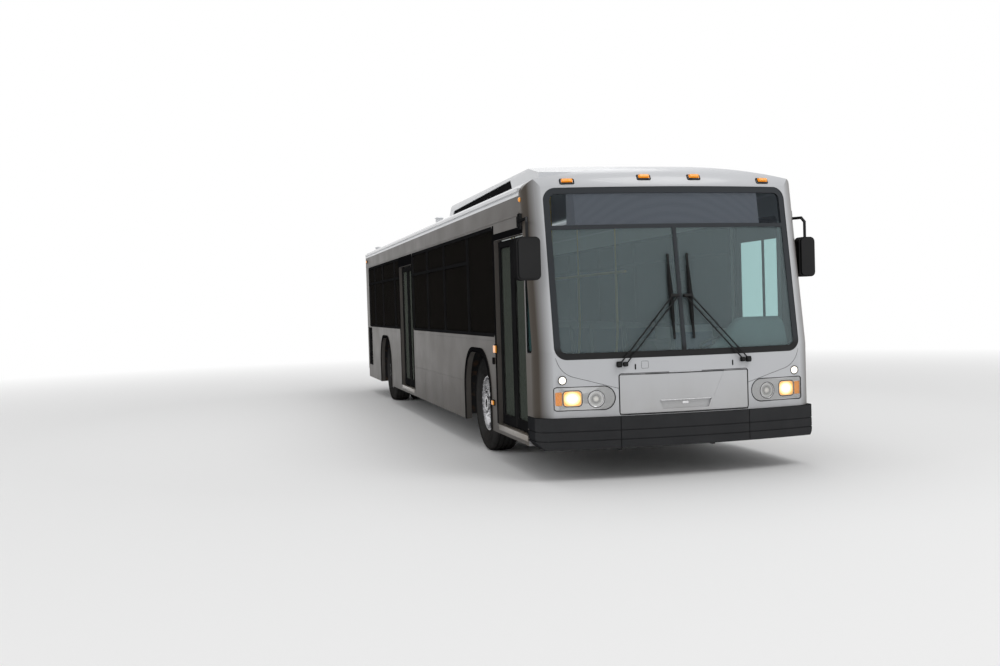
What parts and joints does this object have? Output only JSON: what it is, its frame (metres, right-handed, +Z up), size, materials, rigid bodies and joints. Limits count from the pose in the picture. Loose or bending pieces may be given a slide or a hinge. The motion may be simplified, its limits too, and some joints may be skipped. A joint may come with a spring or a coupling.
{
  "type": "airport passenger bus",
  "caption": "Low-floor passenger bus with two kerb-side doorways, steered front wheels, twin rear wheels, opening doors and lids, and a hollow glazed saloon.",
  "frame": {"origin": "on the ground under the middle of the bus's bounding box", "axes": "+X forward along the bus, +Y to the driver's side, +Z up"},
  "size_m": [12.1998, 2.93, 2.88],
  "materials": {
    "silver_paint": "satin metallic",
    "white_roof": "gloss",
    "charcoal_bumper": "matt, grained",
    "window_glass": "tinted",
    "black_trim": "satin",
    "lamp_glass": "clear",
    "red_lens": "gloss",
    "amber_lens": "gloss",
    "frame_steel": "matt black",
    "axle_iron": "painted",
    "floor_cover": "studded",
    "tyre_rubber": "matt",
    "wheel_alloy": "polished",
    "seat_cloth": "woven",
    "rail_yellow": "gloss"
  },
  "bodies": {
    "body": {"underframe": "frame_steel", "floor": "floor_cover", "wheel_housings": "frame_steel", "wall_left": "silver_paint", "wall_right": "silver_paint", "roof": "white_roof", "front_mask": "silver_paint", "rear_cap": "silver_paint", "roof_fairing": "white_roof", "windscreen": "window_glass", "screen_surround": "black_trim", "sign_box": "charcoal_bumper", "side_glass": "window_glass", "window_frames": "black_trim", "front_bumper": "charcoal_bumper", "rear_bumper": "charcoal_bumper", "headlamps": "lamp_glass", "tail_lamps": "red_lens", "marker_lamps": "amber_lens", "arch_trims": "black_trim", "mirrors": "black_trim", "wipers": "black_trim", "dashboard": "charcoal_bumper", "steering_wheel": "black_trim", "seats": "seat_cloth", "grab_rails": "rail_yellow", "engine": "axle_iron", "side_grille": "charcoal_bumper", "front_axle": "axle_iron", "rear_axle": "axle_iron"},
    "knuckle_left": {"knuckle_left": "axle_iron"},
    "knuckle_right": {"knuckle_right": "axle_iron"},
    "wheel_front_left": {"tyre_front_left": "tyre_rubber", "disc_front_left": "wheel_alloy"},
    "wheel_front_right": {"tyre_front_right": "tyre_rubber", "disc_front_right": "wheel_alloy"},
    "wheels_rear_left": {"tyres_rear_left": "tyre_rubber", "discs_rear_left": "wheel_alloy"},
    "wheels_rear_right": {"tyres_rear_right": "tyre_rubber", "discs_rear_right": "wheel_alloy"},
    "front_leaf_fore": {"front_leaf_fore": "black_trim"},
    "front_leaf_aft": {"front_leaf_aft": "black_trim"},
    "rear_leaf_fore": {"rear_leaf_fore": "black_trim"},
    "rear_leaf_aft": {"rear_leaf_aft": "black_trim"},
    "access_panel": {"access_panel": "silver_paint"},
    "engine_door": {"engine_door": "silver_paint"},
    "roof_hatch": {"roof_hatch": "white_roof"}
  },
  "joints": [
    {"name": "steer_left", "type": "hinge", "parent": "body", "child": "knuckle_left", "pos_m": [3.58, 0.9, 0.495], "axis": [0, 0, 1], "range_deg": [-38, 38]},
    {"name": "steer_right", "type": "hinge", "parent": "body", "child": "knuckle_right", "pos_m": [3.58, -0.9, 0.495], "axis": [0, 0, 1], "range_deg": [-38, 38]},
    {"name": "wheel_front_left_spin", "type": "hinge", "parent": "knuckle_left", "child": "wheel_front_left", "pos_m": [3.58, 1.08, 0.495], "axis": [0, 1, 0], "continuous": true},
    {"name": "wheel_front_right_spin", "type": "hinge", "parent": "knuckle_right", "child": "wheel_front_right", "pos_m": [3.58, -1.08, 0.495], "axis": [0, 1, 0], "continuous": true},
    {"name": "wheels_rear_left_spin", "type": "hinge", "parent": "body", "child": "wheels_rear_left", "pos_m": [-3.51, 1.08, 0.495], "axis": [0, 1, 0], "continuous": true},
    {"name": "wheels_rear_right_spin", "type": "hinge", "parent": "body", "child": "wheels_rear_right", "pos_m": [-3.51, -1.08, 0.495], "axis": [0, 1, 0], "continuous": true},
    {"name": "front_door_fore", "type": "hinge", "parent": "body", "child": "front_leaf_fore", "pos_m": [5.556, -1.235, 1.2], "axis": [0, 0, -1], "range_deg": [0, 90]},
    {"name": "front_door_aft", "type": "hinge", "parent": "body", "child": "front_leaf_aft", "pos_m": [4.554, -1.235, 1.2], "axis": [0, 0, 1], "range_deg": [0, 90]},
    {"name": "rear_door_fore", "type": "hinge", "parent": "body", "child": "rear_leaf_fore", "pos_m": [-0.644, -1.235, 1.2], "axis": [0, 0, -1], "range_deg": [0, 90]},
    {"name": "rear_door_aft", "type": "hinge", "parent": "body", "child": "rear_leaf_aft", "pos_m": [-1.686, -1.235, 1.2], "axis": [0, 0, 1], "range_deg": [0, 90]},
    {"name": "access_panel_hinge", "type": "hinge", "parent": "body", "child": "access_panel", "pos_m": [6.083, 0, 0.908], "axis": [0, -1, 0], "range_deg": [0, 85]},
    {"name": "engine_door_hinge", "type": "hinge", "parent": "body", "child": "engine_door", "pos_m": [-6.063, 0, 1.503], "axis": [0, 1, 0], "range_deg": [0, 85]},
    {"name": "roof_hatch_hinge", "type": "hinge", "parent": "body", "child": "roof_hatch", "pos_m": [-3.33, 0, 2.7423], "axis": [0, -1, 0], "range_deg": [0, 75]}
  ],
  "couplings": [
    {"joint": "steer_right", "follows": "steer_left", "ratio": 1},
    {"joint": "front_door_aft", "follows": "front_door_fore", "ratio": 1},
    {"joint": "rear_door_aft", "follows": "rear_door_fore", "ratio": 1}
  ]
}
